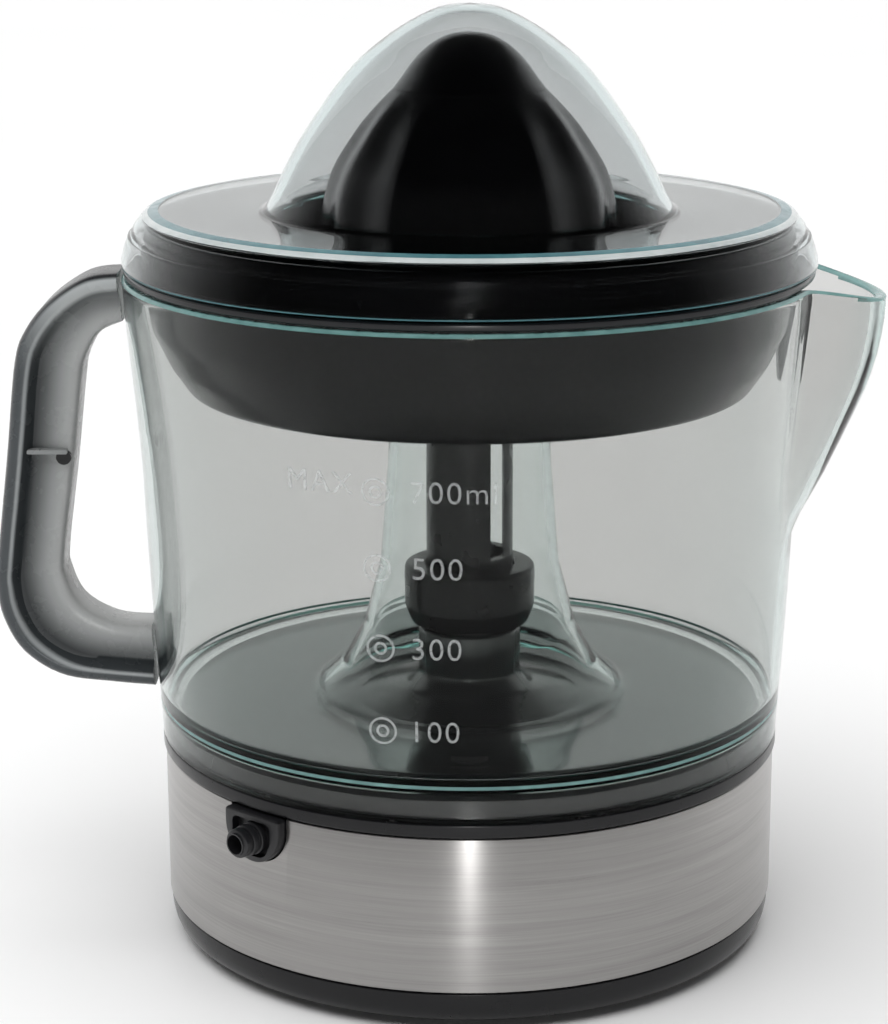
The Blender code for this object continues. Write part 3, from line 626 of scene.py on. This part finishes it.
tint_faces(jug, TEAL, lambda r, z, x, y: r > 65.9 and 51.6 < z < 52.5)
tint_faces(jug, INNER, lambda r, z, x, y: r < 35.0 or (r < 63.0 and z < 54.0))
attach(jug, "jug")
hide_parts("jug")

# moulded marks on the front of the jug: rings, numerals and MAX
def wall_radius(z):
    return interp(jo_z, z)


def wrap(ob, a_mid, z_mid, lift, squeeze=1.0):
    """bend a flat mesh (x along, y up, z out; metres) round the jug's wall"""
    for v in ob.data.vertices:
        x, y, h = v.co
        z = z_mid + y / MM
        r = wall_radius(z) + lift + h / MM
        a = a_mid + x * squeeze / (wall_radius(z_mid) * MM)
        v.co = (r * MM * math.cos(a), r * MM * math.sin(a), lv(z))


def text_mesh(body, height, name):
    cu = bpy.data.curves.new(name, 'FONT')
    cu.body = body
    cu.size = height * MM / 0.70
    cu.extrude = 0.12 * MM
    cu.bevel_depth = 0.05 * MM
    cu.bevel_resolution = 1
    cu.offset = -0.10 * MM
    cu.space_character = 1.12
    cu.align_x, cu.align_y = 'LEFT', 'CENTER'
    tmp = bpy.data.objects.new(name + "_t", cu)
    bpy.context.scene.collection.objects.link(tmp)
    bpy.context.view_layer.update()
    me = bpy.data.meshes.new_from_object(tmp.evaluated_get(bpy.context.evaluated_depsgraph_get()))
    bpy.data.objects.remove(tmp, do_unlink=True)
    ob = link(name, me, MARKS)
    bm = bmesh.new()
    bm.from_mesh(me)
    bmesh.ops.remove_doubles(bm, verts=bm.verts, dist=1e-7)
    bmesh.ops.triangulate(bm, faces=bm.faces)
    bm.to_mesh(me)
    bm.free()
    return ob


def ring_mesh(r_mid, half, name):
    bm = bmesh.new()
    n = 40
    sec = [(-half, -0.1), (-half, 0.12), (0, 0.2), (half, 0.12), (half, -0.1)]
    rings = []
    for k in range(n):
        a = TAU * k / n
        rings.append([bm.verts.new(((r_mid + s) * MM * math.cos(a), (r_mid + s) * MM * math.sin(a), h * MM)) for s, h in sec])
    for k in range(n):
        j = (k + 1) % n
        for i in range(len(sec)):
            q = (i + 1) % len(sec)
            bm.faces.new((rings[k][i], rings[j][i], rings[j][q], rings[k][q]))
    bmesh.ops.recalc_face_normals(bm, faces=bm.faces)
    me = bpy.data.meshes.new(name)
    bm.to_mesh(me)
    bm.free()
    return link(name, me, MARKS)


def angle_at(x_mm, z):
    return -math.acos(max(-1, min(1, x_mm / wall_radius(z))))


ROWS = [("700ml", 111.3, -17.6, -11.2), ("500", 96.3, -17.4, -11.0), ("300", 80.3, -16.9, -11.2), ("100", 63.5, -16.6, -11.6)]
for label, z, xr, xt in ROWS:
    for k, (rm, hf) in enumerate(((2.55, 0.20), (1.05, 0.22))):
        o = ring_mesh(rm, hf, "mark_ring_%s_%d" % (label, k))
        wrap(o, angle_at(xr, z), z, 0.12)
        smooth(o, 50)
        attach(o, "jug")
    o = text_mesh(label, 4.3, "mark_text_%s" % label)
    wrap(o, angle_at(xt, z), z, 0.18)
    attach(o, "jug")
o = text_mesh("MAX", 4.3, "mark_text_max")
wrap(o, angle_at(-34.5, 112.3), 112.3, 0.18)
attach(o, "jug")

# ---------------------------------------------------------------- handle
HO = [(-72.5, 142.2), (-79.4, 141.2), (-86.9, 136.4), (-92.0, 130.2), (-94.5, 123.3), (-96.8, 104.4), (-99.7, 81.8), (-100.25, 75.3),
      (-99.0, 68.1), (-94.9, 60.8), (-86.9, 55.6), (-76.2, 54.0), (-67.1, 53.2)]
HI = [(-71.9, 131.9), (-76.7, 129.6), (-80.0, 124.0), (-81.1, 118.3), (-83.3, 100.5), (-85.9, 81.8), (-85.5, 76.6), (-82.6, 70.7),
      (-75.8, 66.8), (-67.8, 66.0)]


def resample(pts, n, keys):
    """points spaced so that key indices of two outlines pair up"""
    out = []
    for (i0, i1), m in zip(zip(keys, keys[1:]), n):
        seg = catmull(pts, 12)[i0 * 12:i1 * 12 + 1]
        L = [0.0]
        for a, b in zip(seg, seg[1:]):
            L.append(L[-1] + math.hypot(b[0] - a[0], b[1] - a[1]))
        for k in range(m):
            d = L[-1] * k / m
            j = max(i for i in range(len(L)) if L[i] <= d + 1e-9)
            j = min(j, len(seg) - 2)
            t = (d - L[j]) / (L[j + 1] - L[j])
            out.append((seg[j][0] + (seg[j + 1][0] - seg[j][0]) * t, seg[j][1] + (seg[j + 1][1] - seg[j][1]) * t))
    out.append(pts[keys[-1]])
    return out


counts = [26, 40, 26]
so = resample(HO, counts, [0, 4, 7, 12])
si = resample(HI, counts, [0, 3, 6, 9])
bm = bmesh.new()
uvl = bm.loops.layers.uv.new("section")
rings, shade = [], []
W = 9.0
for k, ((ox, oz), (ix, iz)) in enumerate(zip(so, si)):
    d = Vector((ix - ox, iz - oz))
    w = d.length
    # half section (depth from the outer face, half width)
    half = [(0.0, W - 3.4), (0.2, W - 2.2), (0.7, W - 1.1), (1.5, W - 0.3), (2.4, W), (3.2, W - 0.15), (3.8, W - 0.8), (4.3, W - 2.0),
            (5.2, W - 3.1), (w * 0.45, W - 3.3), (w * 0.62, W - 3.1), (w * 0.8, W - 2.85), (w - 1.0, W - 2.95), (w - 0.35, W - 3.4), (w, W - 4.6)]
    sec = half + [(u, -y) for u, y in reversed(half)]
    ring, sh = [], []
    for u, y in sec:
        t = u / w
        ring.append(bm.verts.new(((ox + d.x * t) * MM, y * MM, lv(oz + d.y * t))))
        sh.append(t)
    rings.append(ring)
    shade.append(sh)
N = len(rings[0])
for q in range(len(rings) - 1):
    a, b = rings[q], rings[q + 1]
    for i in range(N):
        j = (i + 1) % N
        f = bm.faces.new((a[i], a[j], b[j], b[i]))
        for lp, (ring_i, vi) in zip(f.loops, ((q, i), (q, j), (q + 1, j), (q + 1, i))):
            # u across the section carries the handle's painted shade and highlight lines, v runs along the handle
            lp[uvl].uv = (shade[ring_i][vi] * 0.94, ring_i / len(rings))
for ring_i, vs in ((0, rings[0]), (len(rings) - 1, rings[-1][::-1])):
    f = bm.faces.new(vs)
    for lp in f.loops:
        lp[uvl].uv = (0.3, 0.0)
bmesh.ops.recalc_face_normals(bm, faces=bm.faces)
me = bpy.data.meshes.new("handle_shell")
bm.to_mesh(me)
bm.free()
handle = smooth(link("handle_shell", me, HANDLE_PAINTED_LIGHT), 40)
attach(handle, "jug")
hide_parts("jug_handle")

RIB = moulded("handle_rib", (0.20, 0.21, 0.21), (0.27, 0.28, 0.28), 0.3, 0.04, 0.0)
for side in (-1, 1):
    rib = solid_of(fillet([(-92.4, 104.3, .3), (-84.0, 104.3, .3), (-84.0, 105.2, .3), (-92.4, 105.2, .3)], n=3), 2.6, "handle_rib_%s" % ("front" if side < 0 else "back"), RIB)
    rib.data.transform(Matrix.Rotation(math.radians(90), 4, 'X'))
    rib.data.transform(Matrix.Translation((0, (-5.4 if side < 0 else 8.0) * MM, -FOOT * MM)))
    smooth(rib, 40)
    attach(rib, "jug")
    # a black disc painted as the shade inside the small notch at the rib's end
    eye = lathe("handle_notch_painted_shade_%s" % ("front" if side < 0 else "back"), [(0, 0), (1.45, 0), (1.6, 0.15), (1.6, 1.6), (0, 1.6)], BLACK, 24, absolute=True)
    eye.data.transform(Matrix.Rotation(math.radians(90), 4, 'X'))
    eye.data.transform(Matrix.Translation((-84.9 * MM, (-5.3 if side < 0 else 6.9) * MM, lv(103.4))))
    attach(eye, "jug")

# ---------------------------------------------------------------- strainer
strain = lathe("strainer_bowl", fillet([
    (66.3, 152.3, .6), (67.2, 147.5, 2), (67.8, 144.0, .3), (71.4, 143.9, .5), (71.4, 142.3, .5), (67.7, 142.2, .6), (67.1, 140.0, 2),
    (66.0, 132.0, 10), (62.6, 124.6, 12), (58.6, 118.6, 4), (55.5, 117.7, 3), (50.5, 117.7, .2), (50.5, 118.6), (53.4, 118.6),
    (53.4, 119.8, .2), (55.5, 119.8, 1), (57.5, 120.6, 3), (61.0, 125.7, 12), (64.0, 132.6, 10), (65.2, 144.0, 3), (64.4, 152.3, .6)], n=6),
    STRAIN, 224, angle=40)
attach(strain, "strainer")
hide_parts("strainer")

sieve = lathe("sieve_disc", fillet([
    (9.9, 117.7, .3), (9.9, 140.0, .5), (12.2, 140.0, .8), (12.8, 119.8, 1.2), (53.0, 119.8, .3), (53.0, 118.9, .2), (50.2, 118.9),
    (50.2, 117.7, .3)], n=4), STRAIN, 192, angle=40)
tools = []
for k in range(16):
    a = TAU * (k + 0.5) / 16
    t = solid_of(fillet([(35.5, -.8, .79), (48.5, -.8, .79), (48.5, .8, .79), (35.5, .8, .79)], n=3), 8)
    t.matrix_world = Matrix.Translation((0, 0, lv(115))) @ Matrix.Rotation(a, 4, 'Z')
    tools.append(t)
boolean(sieve, tools, angle=40)
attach(sieve, "strainer")
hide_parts("sieve_plate")
bm = bmesh.new()
rows = []
for z, r0, r1, hw in ((142.25, 66.9, 69.2, 4.2), (139.0, 65.9, 68.9, 4.0), (132.0, 64.9, 67.9, 3.4), (124.0, 64.9, 66.7, 2.6), (118.6, 65.2, 65.7, 1.8)):
    rows.append([bm.verts.new((r * MM, y * MM, lv(z))) for r, y in ((r0, -hw), (r1, -hw * .85), (r1, hw * .85), (r0, hw))])
for up, low in zip(rows, rows[1:]):
    for i in range(4):
        j = (i + 1) % 4
        bm.faces.new((up[i], up[j], low[j], low[i]))
bm.faces.new(rows[0])
bm.faces.new(rows[-1][::-1])
bmesh.ops.recalc_face_normals(bm, faces=bm.faces)
me = bpy.data.meshes.new("strainer_lug")
bm.to_mesh(me)
bm.free()
lug = link("strainer_lug", me, STRAIN)
bv = lug.modifiers.new("round", 'BEVEL')
bv.width, bv.segments = 0.35 * MM, 2
bpy.context.view_layer.update()
me = bpy.data.meshes.new_from_object(lug.evaluated_get(bpy.context.evaluated_depsgraph_get()))
lug.modifiers.clear()
lug.data = me
smooth(lug, 30)
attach(lug, "strainer")

# ---------------------------------------------------------------- dust cover
dome_out = catmull([(0.0, 196.6), (6.2, 195.8), (14.1, 191.9), (22.0, 185.9), (27.0, 180.4), (31.0, 174.9), (34.6, 169.5), (38.0, 163.4), (40.3, 158.6)], 4)
dome_in = catmull([(38.7, 157.9), (36.4, 162.5), (33.0, 168.6), (29.4, 173.9), (25.4, 179.2), (20.7, 184.3), (13.3, 190.2), (5.7, 194.0), (0.0, 194.9)], 4)
flange = fillet([(40.3, 158.6), (42.4, 154.7, 2.2), (64.2, 155.5, 1.2), (66.9, 154.9, 2.2), (69.0, 152.4, 3), (70.0, 150.3), (70.35, 150.25), (71.05, 148.4, 3), (71.75, 146.0), (71.9, 144.3, .3),
                 (70.6, 144.3, .3), (70.3, 146.3), (69.4, 148.9, 4), (67.9, 151.6, 3), (66.0, 153.5, 2), (64.0, 153.95, 1.2), (42.1, 153.2, 1.2), (38.7, 157.9)],
                False, 5)
cover = lathe("cover_shell", dome_out + flange[1:-1] + dome_in, COVERM, 288, angle=60)
tint_faces(cover, TEALC, lambda r, z, x, y: 64.0 < r < 66.1 and z > 154.8)
# painted glint on the flange's rounded outer edge
tint_faces(cover, GLINT, lambda r, z, x, y: 66.1 < r < 67.5 and z > 153.9)
tint_faces(cover, TEALC, lambda r, z, x, y: r > 70.3 and z < 144.9)
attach(cover, "cover")
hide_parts("dust_cover")

# ---------------------------------------------------------------- inner pieces keep their shape
FINISH = {
    "base_screw": ZINC, "gear_plate_screw": ZINC, "motor_screw": ZINC, "gear_plate": POM, "output_bush": BRONZE, "tower_bush": BRONZE,
    "tower_seal": RUBBER, "idler_axle": ZINC, "motor_stator": CORE, "motor_coil": COIL, "motor_strap": ZINC, "rotor_bush": BRONZE,
    "switch_body": BLACK, "press_slider": POM, "return_spring": ZINC, "switch_button": POM, "output_shaft": ZINC, "output_gear": POM,
    "idler_gear": POM, "motor_rotor": CORE, "rotor_shaft": ZINC, "rotor_pinion": BRONZE}
for name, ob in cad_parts.items():
    hit = [k for k in FINISH if name.startswith(k)]
    if hit:
        key = max(hit, key=len)
        ob.data.materials.clear()
        ob.data.materials.append(FINISH[key])

# ---------------------------------------------------------------- stage
bpy.ops.mesh.primitive_plane_add(size=14, location=(0, 0, lv(0.0) - 0.00002))
floor = bpy.context.object
floor.name = "floor"
fm = Mat("pale_floor")
fm.set(Roughness=0.55)
fm.l(fm.colours(fm.noise(3, 3), (0.955, 0.955, 0.955), (0.975, 0.975, 0.975)), fm.b.inputs["Base Color"])
floor.data.materials.append(fm.m)

world = bpy.data.worlds.new("studio")
bpy.context.scene.world = world
world.use_nodes = True
wt = world.node_tree
bg = wt.nodes["Background"]
tc = wt.nodes.new("ShaderNodeTexCoord")
sep = wt.nodes.new("ShaderNodeSeparateXYZ")
wt.links.new(tc.outputs["Generated"], sep.inputs[0])


def smooth_range(src, f0, f1, t0, t1):
    mr = wt.nodes.new("ShaderNodeMapRange")
    mr.interpolation_type = 'SMOOTHSTEP'
    for k, v in (("From Min", f0), ("From Max", f1), ("To Min", t0), ("To Max", t1)):
        mr.inputs[k].default_value = v
    wt.links.new(src, mr.inputs["Value"])
    return mr.outputs["Result"]


# pale walls behind and at the sides, dim in front and overhead
s1 = smooth_range(sep.outputs["Y"], -0.30, 0.62, 0.05, 1.10)
s2 = smooth_range(sep.outputs["Z"], 0.32, 0.72, 1.0, 0.05)
mul = wt.nodes.new("ShaderNodeMath")
mul.operation = 'MULTIPLY'
wt.links.new(s1, mul.inputs[0])
wt.links.new(s2, mul.inputs[1])
wt.links.new(mul.outputs[0], bg.inputs["Strength"])
bg.inputs["Color"].default_value = (1, 1, 1, 1)


def area(name, loc, target, sx, sy, watts, colour=(1, 1, 1)):
    d = bpy.data.lights.new(name, 'AREA')
    d.shape = 'RECTANGLE'
    d.size, d.size_y, d.energy, d.color = sx, sy, watts, colour
    o = bpy.data.objects.new(name, d)
    bpy.context.scene.collection.objects.link(o)
    o.location = loc
    o.rotation_euler = (Vector(target) - Vector(loc)).to_track_quat('-Z', 'Y').to_euler()
    return o


sky = bpy.data.lights.new("overhead_soft", 'SUN')
sky.energy, sky.angle = 3.0, math.radians(70)
skyo = bpy.data.objects.new("overhead_soft", sky)
bpy.context.scene.collection.objects.link(skyo)
skyo.rotation_euler = (math.radians(12), math.radians(-8), 0)
skyo.visible_glossy = False
skyo.visible_transmission = False
area("strip_front", (0.0, -1.7, 0.19), (0, 0, 0.02), 0.06, 0.36, 3.7)

# ---------------------------------------------------------------- camera
cam = bpy.data.cameras.new("camera")
camo = bpy.data.objects.new("camera", cam)
bpy.context.scene.collection.objects.link(camo)
eye = Vector((0, -0.5530, 0.2347 - FOOT * MM))
look = Vector((0, 0, 0.0898 - FOOT * MM))
camo.location = eye
camo.rotation_euler = (look - eye).to_track_quat('-Z', 'Y').to_euler()
cam.sensor_width = 36.0
cam.sensor_fit = 'AUTO'
cam.lens = 2685.6 * 36.0 / 1024.0
cam.shift_x = -(469.58 - 444.0) / 1024.0
cam.shift_y = 0.0
bpy.context.scene.camera = camo
bpy.context.scene.view_settings.view_transform = 'Standard'
